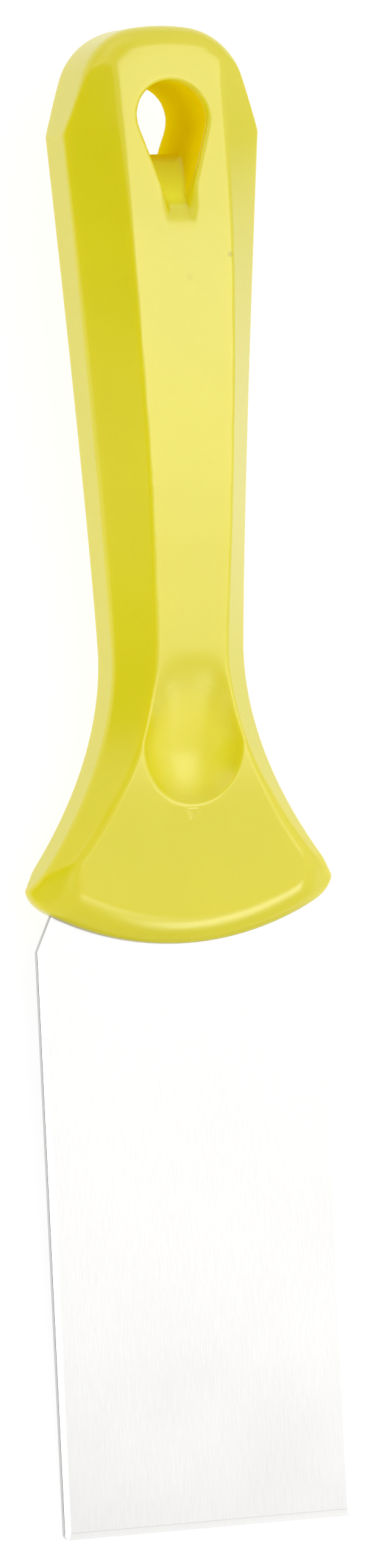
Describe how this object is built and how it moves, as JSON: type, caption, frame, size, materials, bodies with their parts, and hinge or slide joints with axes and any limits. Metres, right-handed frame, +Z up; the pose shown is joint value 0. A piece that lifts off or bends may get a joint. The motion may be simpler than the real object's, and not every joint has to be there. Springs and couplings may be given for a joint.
{
  "type": "hand scraper",
  "caption": "Stiff hand scraper: flat stainless blade with a hidden tang, held in a solid faceted plastic handle with a thumb recess on each face and a teardrop hanging hole.",
  "frame": {"origin": "on the surface that the scraper lies on, under the middle of its length and width", "axes": "+Y along the scraper from the blade's tip to the hanging hole, +X across the blade, +Z up, out of the front face"},
  "size_m": [0.053, 0.2424, 0.0289],
  "materials": {
    "handle_plastic": "semi-gloss moulded yellow polypropylene",
    "blade_steel": "fine satin stainless steel, sheared edges"
  },
  "bodies": {
    "root": {"handle": "handle_plastic", "blade": "blade_steel"}
  },
  "joints": []
}
